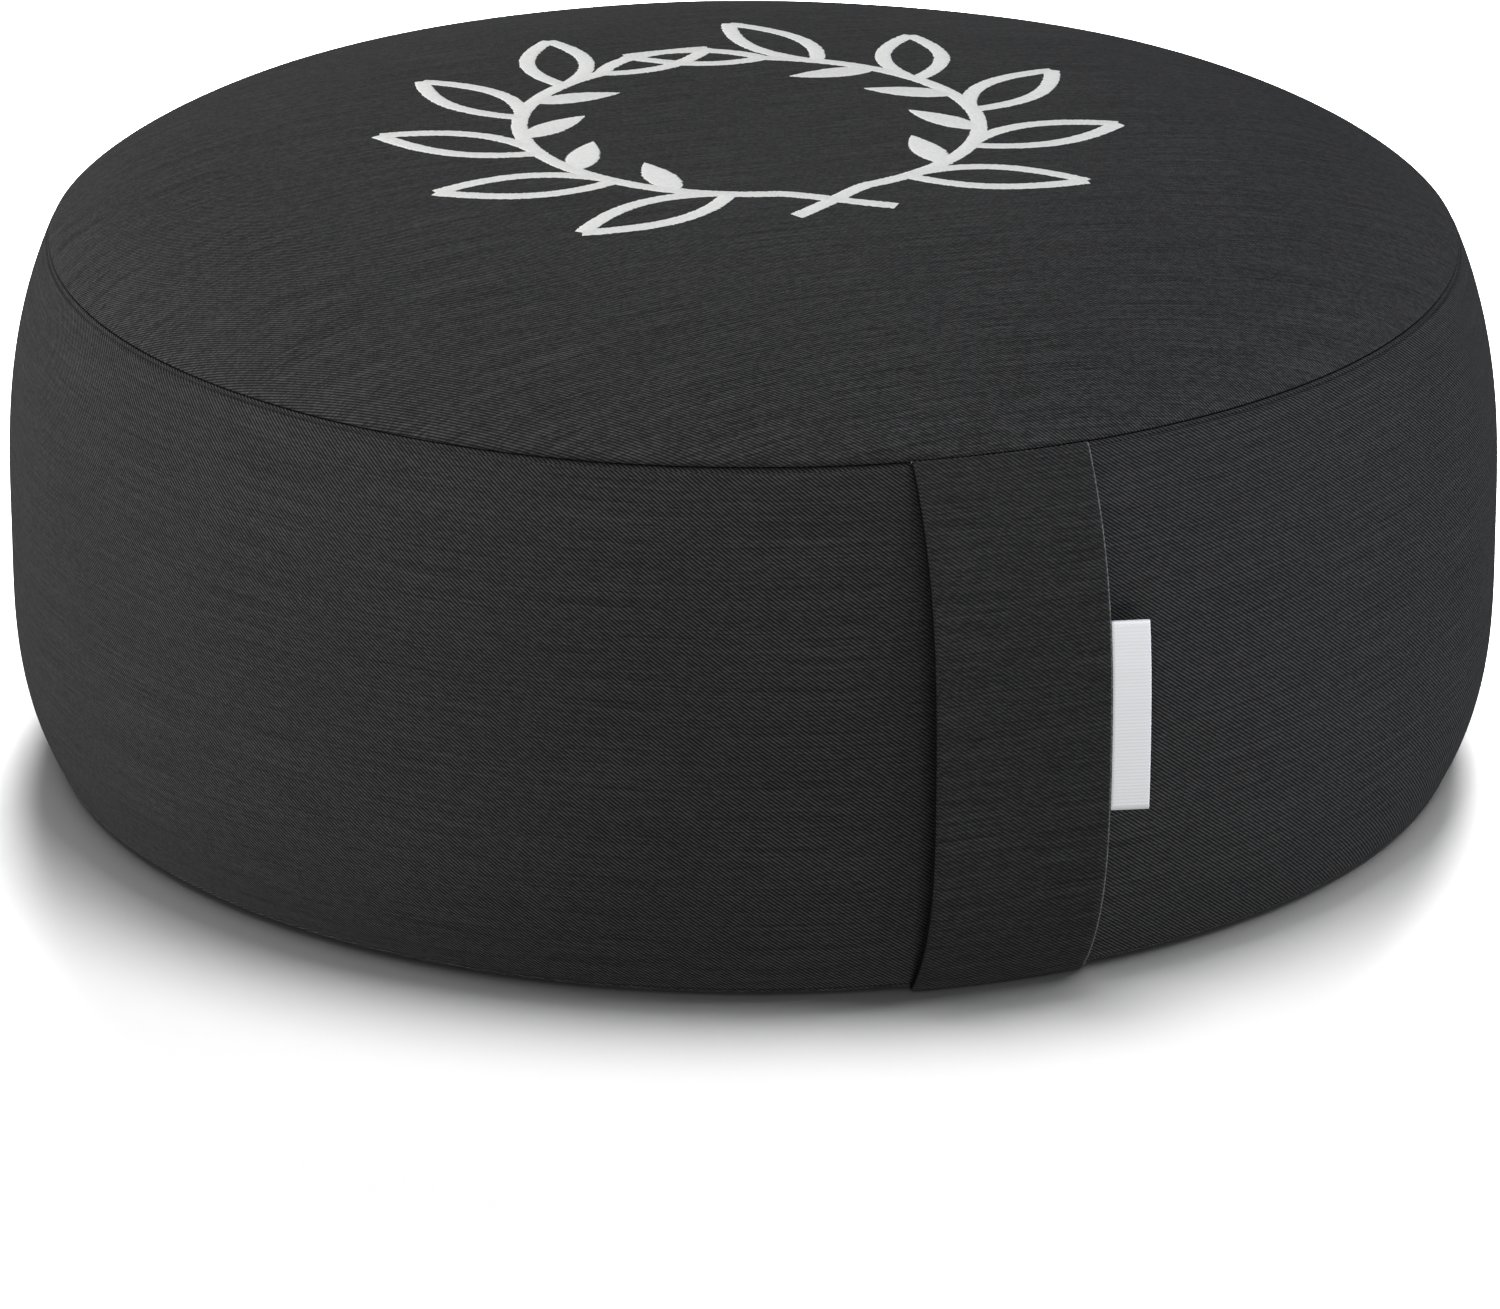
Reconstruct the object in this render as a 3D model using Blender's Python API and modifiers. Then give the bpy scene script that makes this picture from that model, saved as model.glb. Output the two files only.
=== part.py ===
# Round meditation cushion (zafu): a hull-filled body inside a side band, a round top panel and a
# round base panel sewn to the band, a strap handle sewn across it, and a folded label in the strap.
# Metres, +Z up. Origin: centre of the base, on the floor. The strap faces -Y.

import math

import bmesh
import bpy

# ---- driving dimensions -------------------------------------------------------------------
WIDEST_RADIUS = 0.2032        # 16 in across where the filled band bulges most
WIDEST_HEIGHT = 0.0630        # the fill settles, so the widest level is below the middle
TOP_SEAM_RADIUS = 0.1913
TOP_SEAM_HEIGHT = 0.1425
CROWN_RISE = 0.0298           # how far the filled top panel domes up over its seam
CROWN_POWER = 3.73            # flat middle, with the fall kept to the rim
CROWN_EASE = 0.764
BASE_SEAM_RADIUS = 0.1936
BASE_SEAM_HEIGHT = 0.0030
BASE_FLAT_RADIUS = 0.1874     # the part of the base panel that lies flat on the floor

CLOTH = 0.0015                # the panels' twill, with its turned-in allowance
PANEL_LIP = 0.0002            # the top panel's rim over the seam line
GAP = 0.0003                  # air between pieces that touch
SEAM_ROLL = 0.0020            # radius of the band's edge where it rolls into a seam
TOP_ROLL_OUT = 0.0004         # where the top roll starts, outside the seam line
TOP_ROLL_DROP = 0.0023        # and below it
BASE_ROLL_LIFT = 0.0014       # where the base roll starts, over the base seam line
UPPER_BULGE_POWER = 2.8
LOWER_BULGE_POWER = 3.4

STRAP_WIDTH = 0.0470
STRAP_CLOTH = 0.0017          # twill folded double
STRAP_BOW = 0.0048            # how far the slack strap stands off the band at mid height
STRAP_BOW_POWER = 3.0
STRAP_TOP_WRAP = math.radians(60)     # how far round the seam's roll each end is tucked
STRAP_BASE_WRAP = math.radians(48)
STRAP_EDGE_ROUND = 0.0006

LABEL_HEIGHT = 0.0503
LABEL_REACH = 0.0099          # how far the folded label stands out of the strap's edge
LABEL_CENTRE_HEIGHT = 0.0749
LABEL_CLOTH = 0.0010          # woven tape folded in half
LABEL_TURN = math.radians(12)         # its free edge springs away from the band

# ---- mesh densities -----------------------------------------------------------------------
TURN_STEPS = 72
CROWN_POINTS = 12
WALL_POINTS = 7               # in each of the band's two curves
ROLL_POINTS = 4
BASE_RIM_POINTS = 5
STRAP_COLUMNS = 8
STRAP_ROWS = 28
LABEL_COLUMNS = 4
LABEL_ROWS = 8
MERGE = 0.00005


# ---- scene helpers ------------------------------------------------------------------------
def clear_scene():
    for item in list(bpy.data.objects):
        bpy.data.objects.remove(item, do_unlink=True)


def make_collection(name):
    collection = bpy.data.collections.new(name)
    bpy.context.scene.collection.children.link(collection)
    return collection


def make_cloth(name, colour, roughness):
    material = bpy.data.materials.new(name)
    material.use_nodes = True
    shader = material.node_tree.nodes["Principled BSDF"]
    shader.inputs["Base Color"].default_value = (*colour, 1.0)
    shader.inputs["Roughness"].default_value = roughness
    shader.inputs["Metallic"].default_value = 0.0
    material.diffuse_color = (*colour, 1.0)
    return material


def add_object(name, mesh, material, collection):
    item = bpy.data.objects.new(name, mesh)
    mesh.materials.append(material)
    collection.objects.link(item)
    return item


def turned(name, profile, material, collection):
    """A solid turned about Z from a (radius, height) outline that runs from the axis, down the
    outer side and back to the axis."""
    mesh = bpy.data.meshes.new(name)
    points = [(radius, 0.0, height) for radius, height in profile]
    edges = [(i, i + 1) for i in range(len(points) - 1)]
    mesh.from_pydata(points, edges, [])
    item = add_object(name, mesh, material, collection)
    screw = item.modifiers.new("Turn", "SCREW")
    screw.axis = "Z"
    screw.angle = math.tau
    screw.steps = TURN_STEPS
    screw.render_steps = TURN_STEPS
    screw.use_merge_vertices = True
    screw.merge_threshold = MERGE
    screw.use_smooth_shade = True
    return item


def bent_sheet(name, columns, rows, place, thickness, edge_round, material, collection):
    """A sheet from a unit grid: place(u, v) gives each point of its inner face, u and v from
    0 to 1, and the cloth's thickness goes outward from there."""
    mesh = bpy.data.meshes.new(name)
    grid = bmesh.new()
    bmesh.ops.create_grid(grid, x_segments=columns, y_segments=rows, size=0.5)
    for vertex in grid.verts:
        vertex.co = place(vertex.co.x + 0.5, vertex.co.y + 0.5)
    grid.to_mesh(mesh)
    grid.free()
    mesh.shade_smooth()
    item = add_object(name, mesh, material, collection)
    solid = item.modifiers.new("Cloth", "SOLIDIFY")
    solid.thickness = thickness
    solid.offset = 1.0
    solid.use_even_offset = True
    if edge_round > 0:
        bevel = item.modifiers.new("Folded edge", "BEVEL")
        bevel.width = edge_round
        bevel.segments = 2
        bevel.limit_method = "ANGLE"
        bevel.angle_limit = math.radians(50)
    return item


# ---- outlines, as (radius, height) --------------------------------------------------------
def offset_inward(outline, distance):
    """The outline moved to its right-hand side, which is the inside of a piece whose outline
    runs from the axis outward and down."""
    moved = []
    last = len(outline) - 1
    for i, (radius, height) in enumerate(outline):
        before = outline[max(i - 1, 0)]
        after = outline[min(i + 1, last)]
        run = after[0] - before[0]
        rise = after[1] - before[1]
        length = math.hypot(run, rise)
        if radius == 0:
            moved.append((0.0, height - distance))
        else:
            moved.append((radius + rise / length * distance, height - run / length * distance))
    return moved


def crown_outline():
    """The domed top panel's upper face, from the axis to its seam."""
    outline = []
    for i in range(CROWN_POINTS + 1):
        share = 1 - (1 - i / CROWN_POINTS) ** 2
        rise = CROWN_RISE * (1 - share ** CROWN_POWER) ** CROWN_EASE
        outline.append((TOP_SEAM_RADIUS * share, TOP_SEAM_HEIGHT + PANEL_LIP + rise))
    return outline


def base_outline(inset):
    """The base panel's lower face, or a face inset above it, from its rim to the axis."""
    outline = []
    across = BASE_SEAM_RADIUS - BASE_FLAT_RADIUS - inset
    up = BASE_SEAM_HEIGHT - inset
    for i in range(BASE_RIM_POINTS + 1):
        angle = math.pi / 2 * i / BASE_RIM_POINTS
        radius = BASE_FLAT_RADIUS + across * math.cos(angle)
        outline.append((radius, BASE_SEAM_HEIGHT - up * math.sin(angle)))
    outline.append((0.0, inset))
    return outline


def wall_ends():
    """Where the band's bulge hands over to the two seam rolls: (radius, height) of each."""
    top = (TOP_SEAM_RADIUS + TOP_ROLL_OUT, TOP_SEAM_HEIGHT - TOP_ROLL_DROP)
    base = (BASE_SEAM_RADIUS, BASE_SEAM_HEIGHT + BASE_ROLL_LIFT)
    return top, base


def wall_radius(height):
    """The band's radius at a height between the two seam rolls."""
    top, base = wall_ends()
    if height >= WIDEST_HEIGHT:
        share = (height - WIDEST_HEIGHT) / (top[1] - WIDEST_HEIGHT)
        return WIDEST_RADIUS - (WIDEST_RADIUS - top[0]) * share ** UPPER_BULGE_POWER
    share = (WIDEST_HEIGHT - height) / (WIDEST_HEIGHT - base[1])
    return WIDEST_RADIUS - (WIDEST_RADIUS - base[0]) * share ** LOWER_BULGE_POWER


def roll_frames():
    """The centre of each seam roll, and the angle at which it leaves the wall."""
    top, base = wall_ends()
    top_lean = (WIDEST_RADIUS - top[0]) * UPPER_BULGE_POWER / (top[1] - WIDEST_HEIGHT)
    base_lean = (WIDEST_RADIUS - base[0]) * LOWER_BULGE_POWER / (WIDEST_HEIGHT - base[1])
    frames = []
    for point, angle in ((top, math.atan(top_lean)), (base, -math.atan(base_lean))):
        centre = (point[0] - SEAM_ROLL * math.cos(angle), point[1] - SEAM_ROLL * math.sin(angle))
        frames.append((centre, angle))
    return frames


def roll_arc(centre, start, end, radius):
    """Points along a seam roll from one angle to another."""
    arc = []
    for i in range(ROLL_POINTS):
        angle = start + (end - start) * i / (ROLL_POINTS - 1)
        arc.append((centre[0] + radius * math.cos(angle), centre[1] + radius * math.sin(angle)))
    return arc


def wall_levels(points):
    """Heights from the top roll to the base roll, closer together towards the rolls."""
    top, base = wall_ends()
    levels = []
    for i in range(1, points):
        share = math.sin(math.pi / 2 * (1 - i / points))
        levels.append(WIDEST_HEIGHT + (top[1] - WIDEST_HEIGHT) * share)
    levels.append(WIDEST_HEIGHT)
    for i in range(1, points):
        share = math.sin(math.pi / 2 * i / points)
        levels.append(WIDEST_HEIGHT - (WIDEST_HEIGHT - base[1]) * share)
    return levels


def band_outline(out, top_wrap, base_wrap, points):
    """The band's outer face, moved out by a distance, from the top seam to the base seam."""
    (top_centre, top_angle), (base_centre, base_angle) = roll_frames()
    radius = SEAM_ROLL + out
    outline = roll_arc(top_centre, top_wrap, top_angle, radius)
    for height in wall_levels(points):
        outline.append((wall_radius(height) + out, height))
    outline += roll_arc(base_centre, base_angle, -base_wrap, radius)
    return outline


# ---- pieces -------------------------------------------------------------------------------
def make_top_panel(material, collection):
    outer = crown_outline()
    inner = offset_inward(outer, CLOTH)
    return turned("top_panel", outer + inner[::-1], material, collection)


def make_base_panel(material, collection):
    outer = base_outline(0.0)
    inner = base_outline(CLOTH)
    return turned("base_panel", inner[::-1] + outer, material, collection)


def make_body(material, collection):
    crown = offset_inward(crown_outline(), CLOTH + GAP)[::2]
    band = band_outline(0.0, math.radians(86), math.radians(84), WALL_POINTS)
    base = base_outline(CLOTH + GAP)
    return turned("cushion_body", crown + band + base, material, collection)


def strap_path():
    """The strap's inner face in side view: tucked into both seams, bowed off the band between.
    Each entry is (radius, height, slack), slack running 0 - 1 - 0 along it."""
    band = band_outline(GAP, STRAP_TOP_WRAP, STRAP_BASE_WRAP, 2 * WALL_POINTS)
    lengths = [0.0]
    for before, after in zip(band, band[1:]):
        lengths.append(lengths[-1] + math.dist(before, after))
    path = []
    for (radius, height), length in zip(band, lengths):
        share = length / lengths[-1]
        slack = 1 - abs(2 * share - 1) ** STRAP_BOW_POWER
        path.append((radius + STRAP_BOW * slack, height, slack))
    return path


def along(path, share):
    """A point of the path at a share of its length, each entry read in turn."""
    lengths = [0.0]
    for before, after in zip(path, path[1:]):
        lengths.append(lengths[-1] + math.dist(before[:2], after[:2]))
    target = share * lengths[-1]
    for i in range(len(path) - 1):
        if target <= lengths[i + 1] or i == len(path) - 2:
            local = (target - lengths[i]) / (lengths[i + 1] - lengths[i])
            return tuple(a + (b - a) * local for a, b in zip(path[i], path[i + 1]))
    return path[-1]


def strap_face(path, share, across):
    """A point of the strap's inner face. The strap follows the round band where it is sewn and
    flattens where it is slack."""
    radius, height, slack = along(path, share)
    fall = radius - math.sqrt(radius ** 2 - across ** 2)
    return (across, -radius + fall * (1 - slack), height)


def make_strap(material, collection):
    path = strap_path()

    def place(u, v):
        return strap_face(path, 1 - v, (u - 0.5) * STRAP_WIDTH)

    return bent_sheet("handle_strap", STRAP_COLUMNS, STRAP_ROWS, place, STRAP_CLOTH,
                      STRAP_EDGE_ROUND, material, collection)


def strap_share_at(path, height):
    """The share of the strap's length at which its mid line passes a height."""
    low = 0.0
    high = 1.0
    for _ in range(40):
        middle = (low + high) / 2
        if along(path, middle)[1] > height:
            low = middle
        else:
            high = middle
    return (low + high) / 2


def make_label(material, collection):
    path = strap_path()
    inner_face = (STRAP_CLOTH - LABEL_CLOTH) / 2

    def place(u, v):
        height = LABEL_CENTRE_HEIGHT + (v - 0.5) * LABEL_HEIGHT
        share = strap_share_at(path, height)
        edge = strap_face(path, share, STRAP_WIDTH / 2)
        reach = GAP + u * LABEL_REACH
        x = edge[0] + reach * math.cos(LABEL_TURN)
        y = edge[1] - inner_face - reach * math.sin(LABEL_TURN)
        return (x, y, height)

    return bent_sheet("side_label", LABEL_COLUMNS, LABEL_ROWS, place, LABEL_CLOTH,
                      0.0, material, collection)


def main():
    clear_scene()
    cushion = make_collection("zafu_cushion")
    band_twill = make_cloth("charcoal_band_twill", (0.028, 0.029, 0.031), 0.92)
    panel_twill = make_cloth("charcoal_panel_twill", (0.031, 0.031, 0.032), 0.92)
    strap_twill = make_cloth("charcoal_strap_twill", (0.030, 0.030, 0.031), 0.90)
    label_satin = make_cloth("white_label_satin", (0.76, 0.77, 0.80), 0.55)
    make_body(band_twill, cushion)
    make_top_panel(panel_twill, cushion)
    make_base_panel(panel_twill, cushion)
    make_strap(strap_twill, cushion)
    make_label(label_satin, cushion)


main()
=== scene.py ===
import math
import bpy
import numpy as np
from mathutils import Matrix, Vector
from mathutils.bvhtree import BVHTree


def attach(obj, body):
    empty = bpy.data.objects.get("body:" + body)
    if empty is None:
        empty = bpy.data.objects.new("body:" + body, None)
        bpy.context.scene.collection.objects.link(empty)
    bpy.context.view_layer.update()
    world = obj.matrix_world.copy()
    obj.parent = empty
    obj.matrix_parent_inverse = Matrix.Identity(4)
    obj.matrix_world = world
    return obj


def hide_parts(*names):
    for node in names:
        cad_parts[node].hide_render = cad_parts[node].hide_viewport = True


# Round meditation cushion: a filled body in a side band, a top and a base panel, a strap
# handle and a folded label. Metres, +Z up, the strap on the -Y side.
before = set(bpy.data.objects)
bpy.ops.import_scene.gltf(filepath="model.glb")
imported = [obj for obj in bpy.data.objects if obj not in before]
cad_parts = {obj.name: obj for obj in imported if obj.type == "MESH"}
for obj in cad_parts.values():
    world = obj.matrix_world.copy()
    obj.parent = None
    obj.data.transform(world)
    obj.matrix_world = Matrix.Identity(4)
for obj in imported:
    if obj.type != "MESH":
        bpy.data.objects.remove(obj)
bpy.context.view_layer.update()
print("frame loaded:", ", ".join(sorted(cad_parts)))


def hexToLinear(code):  # "#rrggbb" in sRGB to the linear values that the shaders take
    channels = [int(code[i:i + 2], 16) / 255 for i in (1, 3, 5)]
    return [c / 12.92 if c <= 0.04045 else ((c + 0.055) / 1.055) ** 2.4 for c in channels] + [1.0]


def addNode(tree, kind, settings=None, links=None):  # one node, its settings and what feeds it
    node = tree.nodes.new(kind)
    for name, value in (settings or {}).items():
        if isinstance(name, str) and hasattr(node, name):
            setattr(node, name, value)
        else:
            node.inputs[name].default_value = value
    for name, source in (links or {}).items():
        socket = source.outputs[0] if hasattr(source, "outputs") else source
        tree.links.new(socket, node.inputs[name])
    return node


def addMesh(name, points, faces, material, loopUv=None, shades=None):
    mesh = bpy.data.meshes.new(name)
    mesh.from_pydata([tuple(p) for p in points], [], faces)
    if loopUv is not None:
        layer = mesh.uv_layers.new(name="cloth")
        layer.data.foreach_set("uv", np.asarray(loopUv, np.float32).ravel())
    # shades is painted shade: how far each point's cloth colour is darkened, kept as a point attribute
    if shades is not None:
        layer = mesh.attributes.new("paintedCreaseShade", "FLOAT", "POINT")
        layer.data.foreach_set("value", np.asarray(shades, np.float32))
    mesh.shade_smooth()
    mesh.materials.append(material)
    item = bpy.data.objects.new(name, mesh)
    bpy.context.scene.collection.objects.link(item)
    return item


def rowFaces(rows, size, start=0, turned=False):  # the squares between closed rows of points
    faces = []
    for a in range(start, start + (rows - 1) * size, size):
        b = a + size
        for j in range(size):
            k = (j + 1) % size
            faces.append((a + j, a + k, b + k, b + j) if turned else (a + j, b + j, b + k, a + k))
    return faces


# The cushion's own form, even and round; radii and heights of its seams, its crown and its bulge.
form = {
    "widestRadius": 0.2036, "widestHeight": 0.0630,
    "topSeamRadius": 0.1913, "topSeamHeight": 0.1425,
    "crownRise": 0.0298, "crownPower": 3.884, "crownEase": 0.80,
    "baseSeamRadius": 0.1936, "baseSeamHeight": 0.0018, "baseFlatRadius": 0.1890,
    "topRollOut": 0.0004, "topRollDrop": 0.0023, "baseRollLift": 0.0003,
    "upperBulge": 2.8, "lowerBulge": 3.4,  # how late the band turns in above and below its widest
    "cloth": 0.0015, "air": 0.0003, "lip": 0.0002,  # thickness, gap between pieces, step at a seam
}
settling = {  # the fill has slid a little, so the left front stands higher and the crown leans
    "towards": math.radians(-18.8), "raised": 0.0020, "raisedBase": 0.65, "raisedBehind": 0.3,
    "frontReach": 0.6, "crownLean": 0.0012, "crownSpan": 0.21, "shoulderSag": 0.0004,
    "cornersRaised": 0.0010, "cornerGain": 3.3,  # the gain brings the far corners' rise to 1
}


def crownHeight(share):
    rise = np.maximum(1 - np.asarray(share, float) ** form["crownPower"], 0) ** form["crownEase"]
    return form["topSeamHeight"] + form["lip"] + form["crownRise"] * rise


wallTop = (form["topSeamRadius"] + form["topRollOut"], form["topSeamHeight"] - form["topRollDrop"])
wallBase = (form["baseSeamRadius"], form["baseSeamHeight"] + form["baseRollLift"])
topLean = math.atan((form["widestRadius"] - wallTop[0]) * form["upperBulge"]
                    / (wallTop[1] - form["widestHeight"]))
baseLean = math.atan((form["widestRadius"] - wallBase[0]) * form["lowerBulge"]
                     / (form["widestHeight"] - wallBase[1]))


def wallRadius(height):
    if height >= form["widestHeight"]:
        share = (height - form["widestHeight"]) / (wallTop[1] - form["widestHeight"])
        return form["widestRadius"] - (form["widestRadius"] - wallTop[0]) * share ** form["upperBulge"]
    share = (form["widestHeight"] - height) / (form["widestHeight"] - wallBase[1])
    return form["widestRadius"] - (form["widestRadius"] - wallBase[0]) * share ** form["lowerBulge"]


def arc(centre, radius, start, end, count):  # (radius, height) points, angles in degrees
    angles = np.radians(np.linspace(start, end, count))
    return [(centre[0] + radius * math.cos(a), centre[1] + radius * math.sin(a)) for a in angles]


filling = {  # seeded lumps, then a push from inside on a slightly smaller cover, sewn at its seams
    "smaller": 0.0025, "uneven": 0.0012, "seed": 11, "voxel": 0.005, "pressure": 4.0, "frames": 20,
    "farthest": 0.008, "most": 0.0012, "around": 240, "levels": 40, "lowest": 0.0060,
    "bandFrom": 0.15, "floorGap": 0.0005, "sewnReach": 0.008, "insideHeight": 0.08, "rimInset": 0.004,
    "fade": 0.12, "crownRows": 30,
}
turns = math.tau * np.arange(filling["around"]) / filling["around"]
wallHeights = np.linspace(wallBase[1], wallTop[1], filling["levels"])
crownShares = np.linspace(0.0, 1.0, filling["levels"])


def lumps(shares, seed):  # slow unevenness of the fill, nothing at the two ends of shares
    draw = np.random.default_rng(seed)
    total = np.zeros((len(shares), len(turns)))
    for bumps in range(2, 12):
        for waves in (1, 2, 3):
            phase, tilt = draw.uniform(0, math.tau, 2)
            weight = draw.normal() / math.sqrt(bumps * waves)
            wave = np.sin(math.pi * waves * shares + tilt)
            total += weight * np.outer(wave, np.cos(bumps * turns + phase))
    ends = np.sin(math.pi * np.clip(shares, 0, 1))[:, None] ** 0.6
    return filling["uneven"] / 4 * total * ends  # the waves add up to about 4


wallSwell = lumps(np.linspace(0, 1, filling["levels"]), filling["seed"])
crownSwell = lumps(np.linspace(0.5, 1, filling["levels"]), filling["seed"] + 1) * crownShares[:, None]


def pickFrom(field, rows, row, angle):  # the field's value at each row and angle
    level = np.clip(np.interp(row, rows, np.arange(len(rows))), 0, len(rows) - 1.001)
    turn = (angle / math.tau % 1) * len(turns)
    i, j = level.astype(int), turn.astype(int) % len(turns)
    u, v, k = level - i, turn - np.floor(turn), (j + 1) % len(turns)
    return (field[i, j] * (1 - u) * (1 - v) + field[i + 1, j] * u * (1 - v)
            + field[i, k] * (1 - u) * v + field[i + 1, k] * u * v)


def settle(points):  # where a point of the even, round form ends up on the filled cushion
    points = np.array(points, float)
    radius = np.hypot(points[..., 0], points[..., 1])
    angle = np.arctan2(points[..., 1], points[..., 0])
    onCrown = points[..., 2] > form["topSeamHeight"]
    share = radius / form["topSeamRadius"]
    out = np.where(onCrown, 0, pickFrom(wallSwell, wallHeights, points[..., 2], angle))
    out = out * (radius > filling["bandFrom"])
    high = np.where(onCrown, pickFrom(crownSwell, crownShares, share, angle), 0)
    points[..., 0] += out * np.cos(angle)
    points[..., 1] += out * np.sin(angle)
    points[..., 2] += high
    cosine, sine = math.cos(settling["towards"]), math.sin(settling["towards"])
    lift = points[..., 2] / form["topSeamHeight"]
    across = (points[..., 0] * cosine + points[..., 1] * sine) / form["topSeamRadius"]
    behind = (points[..., 1] * cosine - points[..., 0] * sine) / form["topSeamRadius"]
    front = np.clip(1 - behind / settling["frontReach"], 0, 1)
    front = settling["raisedBehind"] + (1 - settling["raisedBehind"]) * front * front * (3 - 2 * front)
    share = settling["raisedBase"] + (1 - settling["raisedBase"]) * np.clip(lift, 0, 1)
    crown = np.clip((lift - 1) / settling["crownSpan"], 0, 1)
    points[..., 0] -= settling["crownLean"] * crown * cosine
    points[..., 1] -= settling["crownLean"] * crown * sine
    points[..., 2] += settling["raised"] * np.clip(-across, 0, 1.1) ** 2 * front * share
    points[..., 2] -= settling["shoulderSag"] * across ** 6 * np.sin(math.pi * crown)
    corner = across ** 2 * np.clip(behind, 0, 1) ** 1.5 * np.clip(lift, 0, 1) ** 2
    points[..., 2] += settling["cornersRaised"] * settling["cornerGain"] * corner
    return points


def turnedPiece(name, profile, columns, material, flat=False, shades=None, push=None):
    # The profile runs from the axis outward, down and back to the axis. shades gives how much painted
    # shade each point takes, and push how far out each one moves, both for the angles round the piece.
    profile = np.array(profile)
    length = np.concatenate([[0], np.cumsum(np.hypot(*np.diff(profile, axis=0).T))])
    angles = -math.pi / 2 + math.tau * np.arange(columns) / columns
    ring = np.repeat(profile[1:-1, None, :], columns, 1)
    if push is not None:
        ring[..., 0] += push(angles)[1:-1]
    points = np.stack([ring[..., 0] * np.cos(angles), ring[..., 0] * np.sin(angles), ring[..., 1]], -1)
    rows = len(points)
    last = rows * columns
    points = np.concatenate([points.reshape(-1, 3), [[0, 0, profile[0, 1]], [0, 0, profile[-1, 1]]]])
    turn = np.arange(columns + 1) / columns
    if flat:  # cloth laid out flat: the distance from the centre along the cloth, as x and y
        around = -math.pi / 2 + math.tau * turn
        lay = np.stack([np.outer(length, np.cos(around)), np.outer(length, np.sin(around))], -1)
    else:  # cloth wrapped round: the way along the band, and up it
        along = math.tau * form["widestRadius"] * turn
        lay = np.stack(np.broadcast_arrays(along[None, :], -length[:, None]), -1)
    base = last - columns
    faces = [(last, j, (j + 1) % columns) for j in range(columns)]
    faces += rowFaces(rows, columns)
    faces += [(base + j, last + 1, base + (j + 1) % columns) for j in range(columns)]
    loopUv = []
    for j in range(columns):
        loopUv += [lay[0, j], lay[1, j], lay[1, j + 1]]
    for i in range(1, rows):
        for j in range(columns):
            loopUv += [lay[i, j], lay[i + 1, j], lay[i + 1, j + 1], lay[i, j + 1]]
    for j in range(columns):
        loopUv += [lay[rows, j], lay[rows + 1, j], lay[rows, j + 1]]
    if shades is not None:
        shades = shades(angles)
        shades = np.concatenate([shades[1:-1].ravel(), [shades[0, 0], shades[-1, 0]]])
    return addMesh(name, settle(points), faces, material, loopUv, shades)


# The camera looks down at the strap from a little to its left, through a long lens.
view = {
    "azimuth": math.radians(-18.8), "elevation": math.radians(21.05), "distance": 2.2,
    "lens": 190.8, "aimRight": -0.0010, "aimHeight": 0.0189,
}
camera = bpy.data.objects.new("camera", bpy.data.cameras.new("camera"))
bpy.context.scene.collection.objects.link(camera)
bpy.context.scene.camera = camera
camera.data.lens = view["lens"]
right = Vector((math.cos(view["azimuth"]), math.sin(view["azimuth"]), 0))
back = Vector((math.sin(view["azimuth"]) * math.cos(view["elevation"]),
               -math.cos(view["azimuth"]) * math.cos(view["elevation"]), math.sin(view["elevation"])))
aim = right * view["aimRight"] + Vector((0, 0, view["aimHeight"]))
camera.location = aim + back * view["distance"]
camera.rotation_mode = "QUATERNION"
camera.rotation_quaternion = (-back).to_track_quat("-Z", "Y")
print("camera placed")


def repeats(along, up):  # how often a pattern repeats in a metre, from its size in millimetres
    return 1000 / along, 1000 / up, 1


twill = {  # what the three cuts of the cloth share: sizes in millimetres, then the surface
    # The near-black below is the colour that painted shade in the seams and on the strap's edge mixes
    # towards.
    "wanderOver": (24, 9), "cloudPlace": (5, 9, 2), "reliefDepth": 0.00015, "paintedCreaseShade": "#060606",
    "roughness": 0.9, "specular": 0.06, "sheen": 0.02, "sheenRoughness": 0.4,
}


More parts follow.
